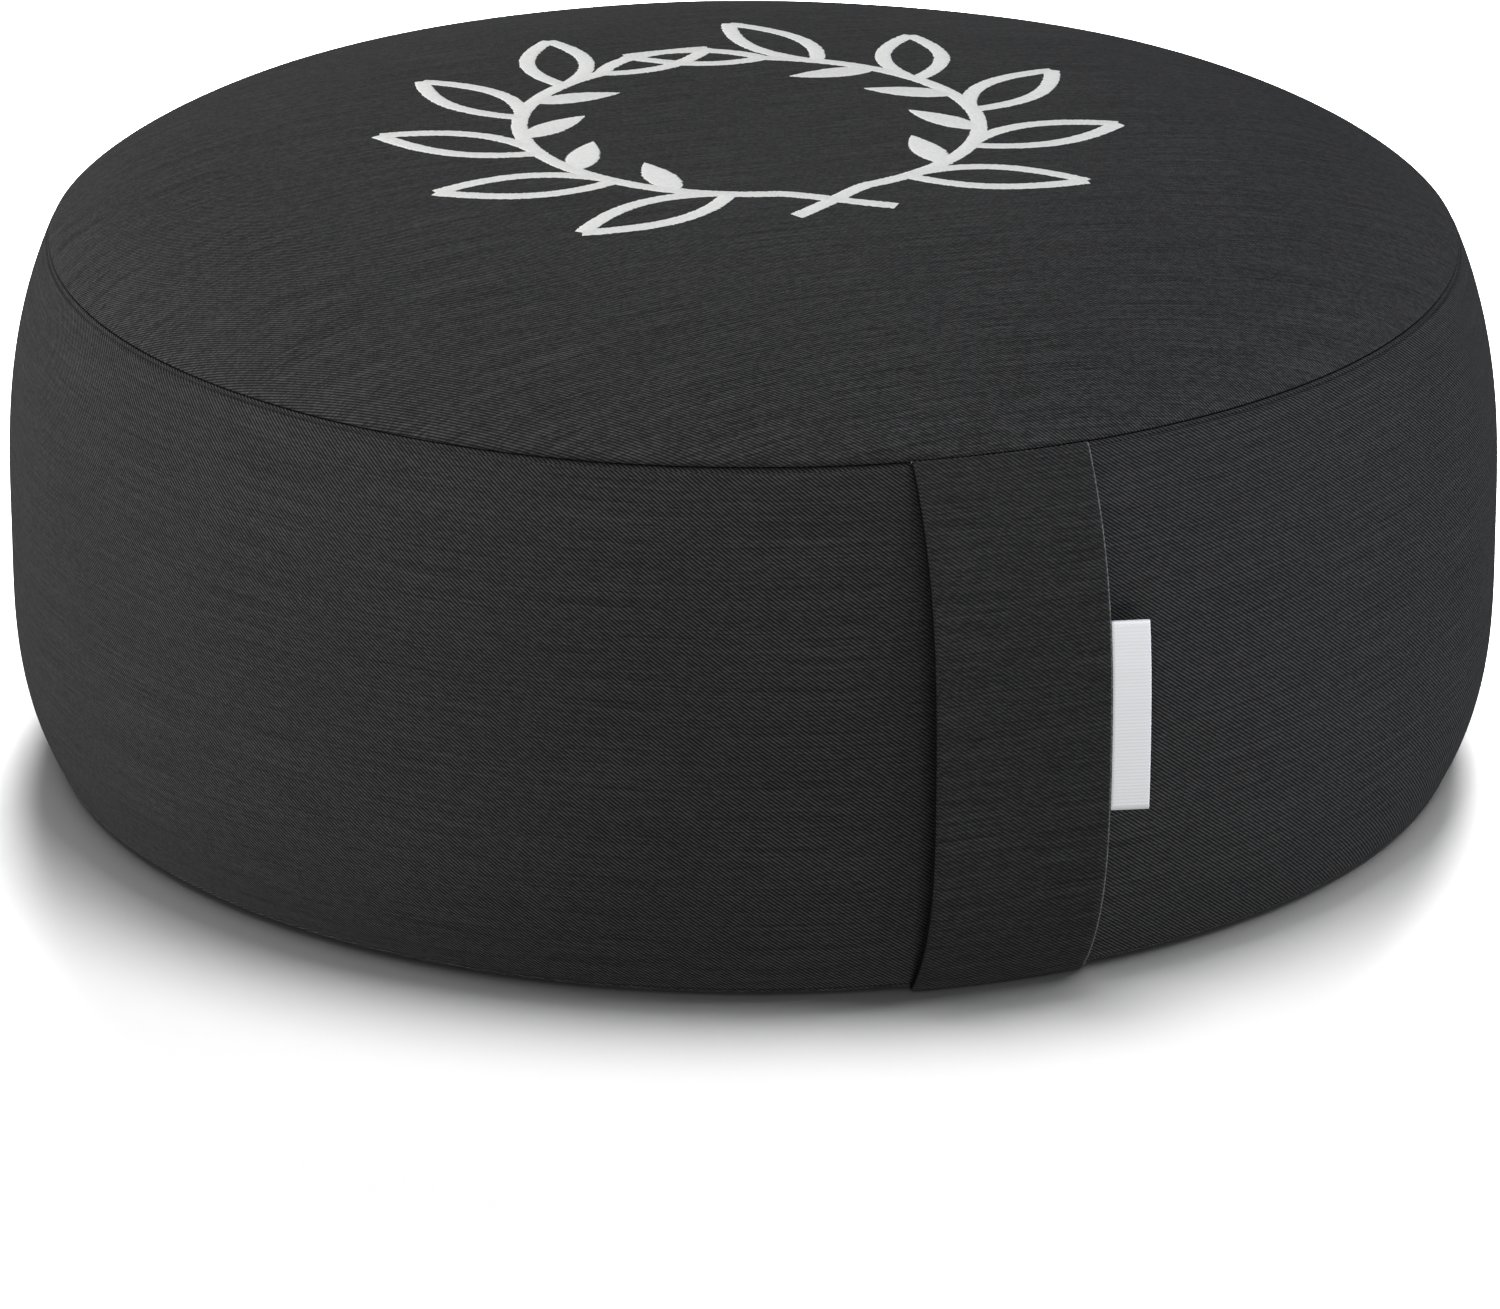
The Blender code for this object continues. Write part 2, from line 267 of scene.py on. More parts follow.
def makeTwill(name, weave):
    # Charcoal cotton-blend twill, woven from yarns spun of lighter and darker fibre: fine
    # slanting ribs, speckled where single fibres catch the light, and slubs in the weft that
    # draw faint streaks. The real ribs are 1.22 mm apart along the weft and 0.92 mm up it; the
    # band's and the strap's are drawn a ninth coarser, so that they still show. The panels' are
    # drawn at 1.15 mm both ways, as they are seen at a slant.
    material = bpy.data.materials.new(name)
    material.use_nodes = True
    tree = material.node_tree
    shader = tree.nodes["Principled BSDF"]
    cloth = addNode(tree, "ShaderNodeUVMap", {"uv_map": "cloth"})
    wanderAt = addNode(tree, "ShaderNodeMapping", {
        "Scale": repeats(*twill["wanderOver"])}, {"Vector": cloth})
    wander = addNode(tree, "ShaderNodeTexNoise", {"Scale": 1.0, "Detail": 1.0}, {"Vector": wanderAt})
    across = addNode(tree, "ShaderNodeVectorMath", {
        "operation": "DOT_PRODUCT", 1: repeats(weave["ribAlong"], weave["ribUp"])}, {0: cloth})
    ribs = addNode(tree, "ShaderNodeMath", {"operation": "MULTIPLY_ADD", 1: weave["wander"]},
                   {0: wander, 2: across.outputs["Value"]})
    turn = addNode(tree, "ShaderNodeMath", {"operation": "MULTIPLY", 1: math.tau}, {0: ribs})
    swing = addNode(tree, "ShaderNodeMath", {"operation": "SINE"}, {0: turn})
    up = addNode(tree, "ShaderNodeVectorMath", {
        "operation": "DOT_PRODUCT", 1: (0, 1000 / weave["pick"], 0)}, {0: cloth})
    ribCell = addNode(tree, "ShaderNodeMath", {"operation": "FLOOR"}, {0: ribs})
    pickCell = addNode(tree, "ShaderNodeMath", {"operation": "FLOOR"}, {0: up.outputs["Value"]})
    cell = addNode(tree, "ShaderNodeCombineXYZ", None, {"X": ribCell, "Y": pickCell})
    speck = addNode(tree, "ShaderNodeTexWhiteNoise", {"noise_dimensions": "2D"}, {"Vector": cell})
    slubAt = addNode(tree, "ShaderNodeMapping", {"Scale": repeats(*weave["slub"])}, {"Vector": cloth})
    slub = addNode(tree, "ShaderNodeTexNoise", {
        "Scale": 1.0, "Detail": 2.0, "Roughness": 0.6}, {"Vector": slubAt})
    cloudAt = addNode(tree, "ShaderNodeMapping", {
        "Location": twill["cloudPlace"], "Scale": repeats(*weave["cloud"])}, {"Vector": cloth})
    cloud = addNode(tree, "ShaderNodeTexNoise", {"Scale": 1.0, "Detail": 2.0}, {"Vector": cloudAt})
    middle = 0.5 - 0.5 * (weave["speckle"] + weave["streak"] + weave["mottle"])
    tone = addNode(tree, "ShaderNodeMath", {
        "operation": "MULTIPLY_ADD", 1: weave["rib"] / 2, 2: middle}, {0: swing})
    for source, strength in ((speck, "speckle"), (slub, "streak"), (cloud, "mottle")):
        tone = addNode(tree, "ShaderNodeMath", {
            "operation": "MULTIPLY_ADD", 1: weave[strength]}, {0: source, 2: tone})
    fibre = addNode(tree, "ShaderNodeValToRGB", None, {"Fac": tone})
    ramp = fibre.color_ramp
    ramp.elements[0].color = hexToLinear(weave["dark"])
    ramp.elements[1].color = hexToLinear(weave["light"])
    ramp.elements.new(0.5).color = hexToLinear(weave["mid"])
    # Painted shade: the cloth darkens towards near-black where its points carry painted shade, in the
    # seams' grooves and on the strap's left edge.
    paintedCreaseShade = addNode(tree, "ShaderNodeAttribute", {"attribute_name": "paintedCreaseShade"})
    shaded = addNode(tree, "ShaderNodeMix", {"data_type": "RGBA", 7: hexToLinear(twill["paintedCreaseShade"])},
                     {0: paintedCreaseShade.outputs["Fac"], 6: fibre})
    tree.links.new(shaded.outputs[2], shader.inputs["Base Color"])
    raised = addNode(tree, "ShaderNodeMath", {"operation": "MULTIPLY_ADD", 1: 0.5}, {0: speck, 2: swing})
    bump = addNode(tree, "ShaderNodeBump", {
        "Strength": weave["relief"], "Distance": twill["reliefDepth"]}, {"Height": raised})
    tree.links.new(bump.outputs[0], shader.inputs["Normal"])
    shader.inputs["Roughness"].default_value = twill["roughness"]
    shader.inputs["Specular IOR Level"].default_value = twill["specular"]
    shader.inputs["Sheen Weight"].default_value = twill["sheen"]
    shader.inputs["Sheen Roughness"].default_value = twill["sheenRoughness"]
    return material


def makeThread(name, thread):
    # Spun thread: matt, a little darker in the gaps between its fibres. The edge yarn is grey
    # cotton, twisted from two plies, its light grey a painted highlight of the strap's folded edges;
    # the stitches are ivory rayon, laid side by side.
    material = bpy.data.materials.new(name)
    material.use_nodes = True
    tree = material.node_tree
    shader = tree.nodes["Principled BSDF"]
    place = addNode(tree, "ShaderNodeTexCoord")
    noise = addNode(tree, "ShaderNodeTexNoise", {"Scale": thread["mottles"], "Detail": 2.0},
                    {"Vector": place.outputs["Object"]})
    tones = addNode(tree, "ShaderNodeValToRGB", None, {"Fac": noise})
    for element, position, tone in zip(tones.color_ramp.elements, (0.3, 0.7), ("dark", "light")):
        element.position = position
        element.color = hexToLinear(thread[tone])
    tree.links.new(tones.outputs[0], shader.inputs["Base Color"])
    bump = addNode(tree, "ShaderNodeBump", {"Strength": thread["relief"], "Distance": 0.0001},
                   {"Height": noise.outputs[0]})
    tree.links.new(bump.outputs[0], shader.inputs["Normal"])
    shader.inputs["Roughness"].default_value = thread["roughness"]
    shader.inputs["Sheen Weight"].default_value = thread["sheen"]
    return material


weaves = {  # ribs, picks, slubs and clouds of tone in millimetres, then how strongly each shows
    "band": {
        "ribAlong": 1.36, "ribUp": 1.03, "pick": 0.50, "slub": (50, 0.45), "cloud": (80, 2.5),
        "wander": 0.35, "rib": 0.56, "speckle": 0.13, "streak": 0.42, "mottle": 0.08, "relief": 0.35,
        "dark": "#080808", "mid": "#292929", "light": "#585858"},
    "panel": {
        "ribAlong": 1.15, "ribUp": 1.15, "pick": 0.50, "slub": (42, 0.45), "cloud": (110, 2.0),
        "wander": 0.20, "rib": 0.46, "speckle": 0.20, "streak": 0.62, "mottle": 0.10, "relief": 0.20,
        "dark": "#0a0a0a", "mid": "#2a2a2a", "light": "#5a5a5a"},
    "strap": {
        "ribAlong": 1.36, "ribUp": 1.03, "pick": 0.50, "slub": (34, 0.45), "cloud": (40, 2.2),
        "wander": 0.35, "rib": 0.42, "speckle": 0.15, "streak": 0.50, "mottle": 0.12, "relief": 0.30,
        "dark": "#0c0c0c", "mid": "#282828", "light": "#505050"},
}
threads = {  # mottles is how many patches of tone there are in a metre, about 1.1 mm each
    # The edge yarn's light tones are a painted highlight on the strap's folded edges.
    "paintedHighlightYarn": {"light": "#707070", "dark": "#424242", "roughness": 0.8, "sheen": 0.1,
                 "relief": 0.3, "mottles": 900.0},
    "satinStitch": {"light": "#e9e9e5", "dark": "#dcdcd8", "roughness": 0.65, "sheen": 0.1,
                    "relief": 0.3, "mottles": 900.0},
}
bandTwill = makeTwill("charcoalTwillBand", weaves["band"])
panelTwill = makeTwill("charcoalTwillPanel", weaves["panel"])
strapTwill = makeTwill("charcoalTwillStrap", weaves["strap"])
paintedHighlightYarn = makeThread("greyTwistedCottonYarn", threads["paintedHighlightYarn"])
embroideryThread = makeThread("ivoryRayonSatinStitch", threads["satinStitch"])
print("materials made")


coverCloth = {  # a dense twill under pressure from inside: it hardly stretches, and bends a little
    "quality": 6, "tension_stiffness": 40, "compression_stiffness": 40, "shear_stiffness": 20,
    "bending_stiffness": 5, "use_pressure": True, "uniform_pressure_force": filling["pressure"],
    "vertex_group_mass": "sewn",
}


def smallerOutline():  # the form's (radius, height) points, set in a little, from the crown down
    shares = 1 - (1 - np.arange(filling["crownRows"] + 1) / filling["crownRows"]) ** 2
    outline = [(form["topSeamRadius"] * s, float(crownHeight(s))) for s in shares]
    outline += [(wallRadius(h), h) for h in wallHeights[::-1]]
    outline += [(form["baseSeamRadius"], form["baseSeamHeight"])]
    outline += [(form["baseFlatRadius"], filling["floorGap"]), (0.0, filling["floorGap"])]
    outline = np.array(outline)
    step = np.gradient(outline, axis=0)
    step /= np.hypot(step[:, 0], step[:, 1])[:, None]
    outline += filling["smaller"] * np.stack([step[:, 1], -step[:, 0]], 1)
    outline[0, 0] = outline[-1, 0] = 0.0
    return outline


def startingCover():  # the smaller form with its lumps, as one mesh of even squares
    ring = np.repeat(smallerOutline()[1:-1, None, :], len(turns), 1)
    share = np.clip((ring[..., 1] - wallBase[1]) / (wallTop[1] - wallBase[1]), 0, 1)
    onWall = (ring[..., 0] > form["topSeamRadius"]) & (share > 0) & (share < 1)
    angles = np.broadcast_to(turns, ring.shape[:2])
    ring[..., 0] += onWall * pickFrom(wallSwell, wallHeights, ring[..., 1], angles)
    onCrown = ring[..., 1] > form["topSeamHeight"]
    crownShare = ring[..., 0] / form["topSeamRadius"]
    ring[..., 1] += onCrown * pickFrom(crownSwell, crownShares, crownShare, angles)
    points = np.stack([ring[..., 0] * np.cos(turns), ring[..., 0] * np.sin(turns), ring[..., 1]], -1)
    rows, columns = ring.shape[:2]
    faces = rowFaces(rows, columns)
    faces.append(tuple(range(columns)))
    faces.append(tuple((rows - 1) * columns + j for j in reversed(range(columns))))
    cover = addMesh("swelling_cover", points.reshape(-1, 3), faces, bandTwill)
    even = cover.modifiers.new("even", "REMESH")
    even.mode = "VOXEL"
    even.voxel_size = filling["voxel"]
    evened = cover.evaluated_get(bpy.context.evaluated_depsgraph_get())
    cover.data = bpy.data.meshes.new_from_object(evened)
    cover.modifiers.clear()
    return cover


def swellCover():  # presses on the cover from inside; gives how uneven band and crown then are
    # The push is slight: it moves half of the cover by only 0.01 mm, and none by over 1.9 mm, so
    # nearly all of the band's unevenness is the lumps' own.
    cover = startingCover()
    start = np.array([v.co for v in cover.data.vertices])
    reach = np.hypot(start[:, 0], start[:, 1])
    fromSeam = np.hypot(reach - form["topSeamRadius"], start[:, 2] - form["topSeamHeight"])
    held = (fromSeam < filling["sewnReach"]) | (start[:, 2] < filling["sewnReach"])
    sewn = cover.vertex_groups.new(name="sewn")
    sewn.add([int(i) for i in np.flatnonzero(held)], 1.0, "REPLACE")
    cloth = cover.modifiers.new("filled", "CLOTH")
    for setting, value in coverCloth.items():
        setattr(cloth.settings, setting, value)
    cloth.settings.effector_weights.gravity = 0
    cloth.point_cache.frame_start = 1
    cloth.point_cache.frame_end = filling["frames"]
    for number in range(1, filling["frames"] + 1):
        bpy.context.scene.frame_set(number)
    blown = cover.evaluated_get(bpy.context.evaluated_depsgraph_get()).to_mesh()
    end = np.array([v.co for v in blown.vertices])
    move = end - start
    far = np.linalg.norm(move, axis=1)
    end = start + move * np.minimum(1, filling["farthest"] / np.maximum(far, 1e-9))[:, None]
    print("cover swollen by", millimetres(np.median(far)), "mm, at most", millimetres(far.max()))
    faces = [tuple(f.vertices) for f in cover.data.polygons]
    tree = BVHTree.FromPolygons([tuple(p) for p in end], faces)
    around = [Vector((math.cos(a), math.sin(a), 0)) for a in turns]
    inside = Vector((0, 0, filling["insideHeight"]))
    wall = np.array([[tree.ray_cast(Vector((0, 0, h)), ray)[3] for ray in around]
                     for h in np.maximum(wallHeights, filling["lowest"])])
    crown = np.array([[tree.ray_cast(inside + ray * q, Vector((0, 0, 1)))[3] for ray in around]
                      for q in crownShares * (form["topSeamRadius"] - filling["rimInset"])])
    bpy.data.objects.remove(cover)
    bpy.context.scene.frame_set(1)
    return evenOut(wall, wallHeights), evenOut(crown, crownShares)


def millimetres(length):
    return round(float(length) * 1000, 2)


def evenOut(field, rows):  # the field without each row's mean, smoothed, and nothing where it is sewn
    field = field - field.mean(1, keepdims=True)
    for shift in (1, 2, 1):
        field = (np.roll(field, shift, 1) + 2 * field + np.roll(field, -shift, 1)) / 4
        inner = (field[:-2] + 2 * field[1:-1] + field[2:]) / 4
        field[1:-1] = inner
    share = (rows - rows[0]) / (rows[-1] - rows[0])
    ends = np.clip((1 - share) / filling["fade"], 0, 1)
    if rows[0] > 0:  # the band is sewn at its foot too
        ends = ends * np.clip(share / filling["fade"], 0, 1)
    return np.clip(field, -filling["most"], filling["most"]) * ends[:, None]


wallSwell, crownSwell = swellCover()
print("swelling at most", millimetres(np.abs(wallSwell).max()), "mm on the band and",
      millimetres(np.abs(crownSwell).max()), "mm on the crown")


# The filled body in its side band. Its arcs run from one angle to another, in so many points.
body = {
    "columns": 576, "wallRows": 64, "crownRows": 9, "crownReach": 9.3, "tuckAt": (0.1893, 0.1411),
    "pressedEdgeAt": (0.1903, 0.14140), "pressedEdge": 0.00060, "pressedEdgeArc": (110, -40, 10),
    "roll": 0.0009, "rollFrom": 92, "rollRows": 9, "lowRoll": 0.0003, "lowRollTo": -84, "lowRollRows": 8,
    "floorRings": (0.12, 0.06, 0.0), "grooveRows": (7, 15), "tuckShade": 0.25,
    "edgeShades": ((8, 0.10), (9, 0.30), (10, 0.30), (11, 0.10)),  # row below the tuck, how dark its painted shade
    "besidesFrom": 0.25, "besidesOver": 0.35,
}


def wallLevels(count):  # heights from the top roll to the base roll, closer towards the rolls
    widest = form["widestHeight"]
    up = widest + (wallTop[1] - widest) * np.sin(math.pi / 2 * (1 - np.arange(1, count) / count))
    down = widest - (widest - wallBase[1]) * np.sin(math.pi / 2 * np.arange(0, count) / count)
    return list(up) + list(down)


def rollCentre(end, lean, radius, side):  # centre of a roll that takes over from the band at its end
    return end[0] - radius * math.cos(lean), end[1] - side * radius * math.sin(lean)


def besides(angles):  # 0 at the front and back of the seam, 1 along its sides
    aside = np.abs(np.cos(angles - settling["towards"]))
    return np.clip((aside - body["besidesFrom"]) / body["besidesOver"], 0, 1)


def bodyProfile():
    inset = form["cloth"] + form["air"]
    shares = 1 - (1 - np.arange(body["crownRows"]) / body["crownReach"]) ** 2
    crown = [(form["topSeamRadius"] * s, float(crownHeight(s)) - inset) for s in shares]
    tuck = [body["tuckAt"]]
    edge = arc(body["pressedEdgeAt"], body["pressedEdge"], *body["pressedEdgeArc"])
    rollAt = rollCentre(wallTop, topLean, body["roll"], 1)
    roll = arc(rollAt, body["roll"], body["rollFrom"], math.degrees(topLean), body["rollRows"])
    wall = [(wallRadius(h), h) for h in wallLevels(body["wallRows"] // 2)]
    lowAt = rollCentre(wallBase, baseLean, body["lowRoll"], -1)
    low = arc(lowAt, body["lowRoll"], -math.degrees(baseLean), body["lowRollTo"], body["lowRollRows"])
    underside = [(form["baseSeamRadius"] - inset, form["baseSeamHeight"] + form["lip"])]
    underside += [(radius, inset) for radius in (form["baseFlatRadius"], *body["floorRings"])]
    profile = crown + tuck + edge + roll + wall + low + underside
    first = len(crown) + len(tuck)

    def shades(angles):  # painted shade: two dark lines beside the pressed edge, merged to one at the front
        dark = np.zeros((len(profile), len(angles)))
        # Painted shade all round in the tuck under the top seam, and along the sides in the rows under
        # the pressed edge.
        dark[len(crown) - 1:first + 1] = body["tuckShade"]
        for row, depth in body["edgeShades"]:
            dark[first + row] = depth * besides(angles)
        return dark

    def push(angles):  # the groove under the pressed edge is filled at the front
        outward = np.zeros((len(profile), len(angles)))
        top, end = (first + row for row in body["grooveRows"])
        for row in range(top + 1, end):
            share = (profile[top][1] - profile[row][1]) / (profile[top][1] - profile[end][1])
            level = profile[top][0] + share * (profile[end][0] - profile[top][0])
            outward[row] = max(level - profile[row][0], 0.0) * (1 - besides(angles))
        return outward

    return profile, shades, push


profile, shades, push = bodyProfile()
filledBody = turnedPiece("filled_body_side_band", profile, body["columns"], bandTwill,
                         shades=shades, push=push)
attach(filledBody, "root")
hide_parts("cushion_body")
print("filled body made")


# The top panel: a round of cloth over the crown, folded under at its rim.
topPanel = {
    "columns": 576, "rows": 90, "underRows": 10, "underInset": 0.0012, "flatWidth": 0.412,
    "rimFold": 0.0004, "rimArc": (-18, -90, 5), "rimShades": (0.05, 0.10, 0.20, 0.30, 0.30),
    "edgeShade": 0.35, "edgeReach": 0.0010, "drawnIn": 0.0009, "drawnInReach": 0.020,
}


def topProfile():
    share = 1 - (1 - np.arange(topPanel["rows"] + 1) / topPanel["rows"]) ** 2
    outer = [(form["topSeamRadius"] * s, float(crownHeight(s))) for s in share]
    fold = topPanel["rimFold"]
    rim = arc((outer[-1][0] - fold, outer[-1][1]), fold, *topPanel["rimArc"])
    under = 1 - (1 - np.arange(topPanel["underRows"]) / topPanel["underRows"]) ** 2
    reach = form["topSeamRadius"] - topPanel["underInset"]
    inner = [(reach * s, float(crownHeight(s)) - form["cloth"]) for s in under[::-1]]
    profile = outer + rim + inner
    inset = form["topSeamRadius"] * (1 - share)

    def shades(angles):  # painted shade: the panel's edge darkens towards the seam at front and back, its rim all round
        dark = np.zeros((len(profile), len(angles)))
        near = np.clip(1 - inset / topPanel["edgeReach"], 0, 1)
        dark[:len(outer)] = topPanel["edgeShade"] * np.outer(near, 1 - besides(angles))
        dark[len(outer):len(outer) + len(rim)] = np.array(topPanel["rimShades"])[:, None]
        return dark

    def push(angles):  # the seam draws the panel's edge in at its sides
        fromSeam = form["topSeamRadius"] - np.array(profile)[:, 0]
        near = np.clip(1 - fromSeam / topPanel["drawnInReach"], 0, 1)
        return -topPanel["drawnIn"] * np.outer(near, besides(angles))

    return profile, shades, push


profile, shades, push = topProfile()
topCloth = turnedPiece("top_panel_cloth", profile, topPanel["columns"], panelTwill,
                       flat=True, shades=shades, push=push)
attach(topCloth, "root")
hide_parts("top_panel")
print("top panel made")


# The base panel: a round of cloth, flat on the floor, its rim curling up to the base seam.
basePanel = {"columns": 288, "rows": 14, "rimRows": 8, "rings": (0.0, 0.06, 0.12), "flatWidth": 0.389}


def baseProfile():
    flatRadius, seamRadius, thick = form["baseFlatRadius"], form["baseSeamRadius"], form["cloth"]
    inner = [(radius, thick) for radius in (*basePanel["rings"], flatRadius)]
    inner.append((seamRadius - thick, form["baseSeamHeight"]))
    rim = []
    for i in range(basePanel["rimRows"] + 1):
        angle = math.pi / 2 * i / basePanel["rimRows"]
        rim.append((flatRadius + (seamRadius - flatRadius) * math.cos(angle),
                    form["baseSeamHeight"] * (1 - math.sin(angle))))
    flat = [(flatRadius * (1 - i / basePanel["rows"]), 0.0) for i in range(1, basePanel["rows"] + 1)]
    return inner + rim + flat


baseCloth = turnedPiece("base_panel_cloth", baseProfile(), basePanel["columns"], panelTwill, flat=True)
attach(baseCloth, "root")
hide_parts("base_panel")
print("base panel made")


# The strap handle: a doubled strip across the band, its ends turned over both seams.
strap = {
    "width": 0.0470, "thick": 0.0017, "bow": 0.0048, "bowPower": 3.0, "length": 0.1445,
    "topWrap": 60, "baseWrap": 48, "roll": 0.0020, "lineRows": (8, 14, 6), "slopeOver": 0.01,
    "rows": 180, "sectionHalf": 28, "sectionBend": (60, -60, 5), "shadedBelow": 0.9,
    "yarn": 0.00028, "yarnTwist": 0.0016, "yarnSteps": 10, "yarnLobe": 0.22, "yarnAt": 0.72,
    "yarnFaces": (0, -1, 0.3),
}


def strapPath():  # (radius, height, slack) of the strap's inner face, top to bottom
    reach = strap["roll"] + form["air"]
    topRows, wallRows, lowRows = strap["lineRows"]
    topAt = rollCentre(wallTop, topLean, strap["roll"], 1)
    lowAt = rollCentre(wallBase, baseLean, strap["roll"], -1)
    line = arc(topAt, reach, strap["topWrap"], math.degrees(topLean), topRows)
    line += [(wallRadius(h) + form["air"], h) for h in wallLevels(wallRows)]
    line += arc(lowAt, reach, -math.degrees(baseLean), -strap["baseWrap"], lowRows)
    line = np.array(line)
    run = np.concatenate([[0], np.cumsum(np.hypot(*np.diff(line, axis=0).T))])
    slack = 1 - np.abs(2 * run / run[-1] - 1) ** strap["bowPower"]
    return np.stack([line[:, 0] + strap["bow"] * slack, line[:, 1], slack], 1)


strapLine = strapPath()
strapRun = np.concatenate([[0], np.cumsum(np.hypot(*np.diff(strapLine[:, :2], axis=0).T))])


def strapAt(share):  # (radius, height, slack) at a share of the strap's run
    return [np.interp(np.clip(share, 0, 1) * strapRun[-1], strapRun, column) for column in strapLine.T]


def strapPoint(share, across, out):  # out is the distance outward from the inner face
    radius, height, slack = strapAt(share)
    ahead, behind = strapAt(share + strap["slopeOver"]), strapAt(share - strap["slopeOver"])
    span = math.hypot(ahead[0] - behind[0], ahead[1] - behind[1])
    normal = ((behind[1] - ahead[1]) / span, (ahead[0] - behind[0]) / span)
    fall = radius - math.sqrt(radius ** 2 - across ** 2)
    return (across, -radius + fall * (1 - slack) - out * normal[0], height + out * normal[1])


def sectionLoop(width, thick, count):  # a flat loop with round ends: (across, out)
    bend = thick / 2
    half = width / 2 - bend
    flat = np.linspace(-half, half, count)
    start, end, steps = strap["sectionBend"]
    loop = [(x, thick) for x in flat] + arc((half, bend), bend, start, end, steps)
    return loop + [(x, 0.0) for x in flat[::-1]] + arc((-half, bend), bend, start + 180, end + 180, steps)


def makeStrap():
    loop = sectionLoop(strap["width"], strap["thick"], strap["sectionHalf"])
    size = len(loop)
    shares = np.linspace(0, 1, strap["rows"] + 1)
    points = [strapPoint(s, x, o) for s in shares for x, o in loop]
    ends = [strapPoint(0.0, 0.0, strap["thick"] / 2), strapPoint(1.0, 0.0, strap["thick"] / 2)]
    steps = np.hypot(*np.diff(np.array(loop + loop[:1]), axis=0).T)
    way = np.concatenate([[0], np.cumsum(steps)]) - strap["width"] / 2
    faces, loopUv = rowFaces(len(shares), size), []
    for i in range(strap["rows"]):
        up = -strapRun[-1] * shares[i]
        low = -strapRun[-1] * shares[i + 1]
        for j in range(size):
            loopUv += [(way[j], up), (way[j], low), (way[j + 1], low), (way[j + 1], up)]
    first = len(points)
    last = strap["rows"] * size
    for j in range(size):
        k = (j + 1) % size
        faces.append((first, j, k))
        faces.append((first + 1, last + k, last + j))
        loopUv += [(0, 0), (way[j], 0), (way[j + 1], 0), (0, 0), (way[j + 1], 0), (way[j], 0)]
    # Painted shade on the strap's left rounded edge, so that it shows no bright line from the light on
    # the left.
    shaded = [1.0 if x < 0 and o < strap["thick"] * strap["shadedBelow"] else 0.0 for x, o in loop]
    shades = shaded * len(shares) + [0, 0]
    return addMesh("strap_handle_cloth", settle(points + ends), faces, strapTwill, loopUv, shades)


def makeYarn(name, path, outward, radius, material):  # a two-ply yarn along a path of close points
    ahead = np.gradient(path, axis=0)
    ahead /= np.linalg.norm(ahead, axis=1)[:, None]
    aside = np.cross(ahead, outward)
    aside /= np.linalg.norm(aside, axis=1)[:, None]
    above = np.cross(aside, ahead)
    around = np.radians(np.arange(0, 360, 45))
    run = np.concatenate([[0], np.cumsum(np.linalg.norm(np.diff(path, axis=0), axis=1))])
    lobe = strap["yarnLobe"]
    twist = math.tau * run[:, None] / strap["yarnTwist"]
    lobes = radius * (1 - lobe + lobe * np.cos(2 * around[None, :] - twist))
    ring = (path[:, None, :] + (lobes * np.cos(around))[..., None] * aside[:, None, :]
            + (lobes * np.sin(around))[..., None] * above[:, None, :])
    size, count = len(around), len(path)
    faces = rowFaces(count, size, turned=True)
    faces.append(tuple(reversed(range(size))))
    faces.append(tuple((count - 1) * size + j for j in range(size)))
    return addMesh(name, settle(ring.reshape(-1, 3)), faces, material)


def makeEdgeYarn():  # the yarn binding the strap's top and right edge, light grey as painted highlight
    half = strap["width"] / 2
    steps = int((strap["width"] + strapRun[-1]) / strap["yarnTwist"] * strap["yarnSteps"])
    corner = int(steps * strap["width"] / (strap["width"] + strapRun[-1]))
    out = strap["thick"] * strap["yarnAt"]
    top = [strapPoint(0.0, x, out) for x in np.linspace(-half, half, corner)]
    side = [strapPoint(t, half, out) for t in np.linspace(0, 1, steps - corner)]
    path = np.array(top + side[1:])
    return makeYarn("strap_edge_yarn", path, strap["yarnFaces"], strap["yarn"], paintedHighlightYarn)


strapCloth = makeStrap()
strapYarn = makeEdgeYarn()
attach(strapYarn, "root")
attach(strapCloth, "root")
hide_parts("handle_strap")
print("strap made")


# The side label: a bare tape, folded double and caught in the strap's right-hand edge.
label = {
    "height": 0.0503, "reach": 0.0099, "centreHeight": 0.0754, "thick": 0.0010, "turn": math.radians(12),
    "tape": 0.00040, "rows": 40, "columns": 14, "fold": (75, -75, 11), "flat": (0.0205, 0.0503),
    "light": "#fcfcfe", "dark": "#f6f7fa", "roughness": 0.5, "sheen": 0.1,
    "ribScale": 350.0, "relief": 0.25,  # this scale gives a rib every 0.9 mm
}


def makeLabelSatin():
    # White polyester satin tape: smooth and slightly glossy, with a fine cross rib from its weft.
    material = bpy.data.materials.new("whitePolyesterSatinTape")
    material.use_nodes = True
    tree = material.node_tree
    shader = tree.nodes["Principled BSDF"]
    place = addNode(tree, "ShaderNodeTexCoord")
    wave = addNode(tree, "ShaderNodeTexWave", {
        "bands_direction": "Z", "Scale": label["ribScale"], "Distortion": 0.4},
        {"Vector": place.outputs["Object"]})
    tones = addNode(tree, "ShaderNodeValToRGB", None, {"Fac": wave.outputs["Fac"]})
    tones.color_ramp.elements[0].color = hexToLinear(label["dark"])
    tones.color_ramp.elements[1].color = hexToLinear(label["light"])
    tree.links.new(tones.outputs[0], shader.inputs["Base Color"])
    bump = addNode(tree, "ShaderNodeBump", {
        "Strength": label["relief"], "Distance": 0.00008}, {"Height": wave.outputs["Fac"]})
    tree.links.new(bump.outputs[0], shader.inputs["Normal"])
    shader.inputs["Roughness"].default_value = label["roughness"]
    shader.inputs["Sheen Weight"].default_value = label["sheen"]
    return material


def shareAt(height):  # how far down the strap's run a height lies
    return float(np.interp(-height, -strapLine[:, 1], strapRun)) / strapRun[-1]


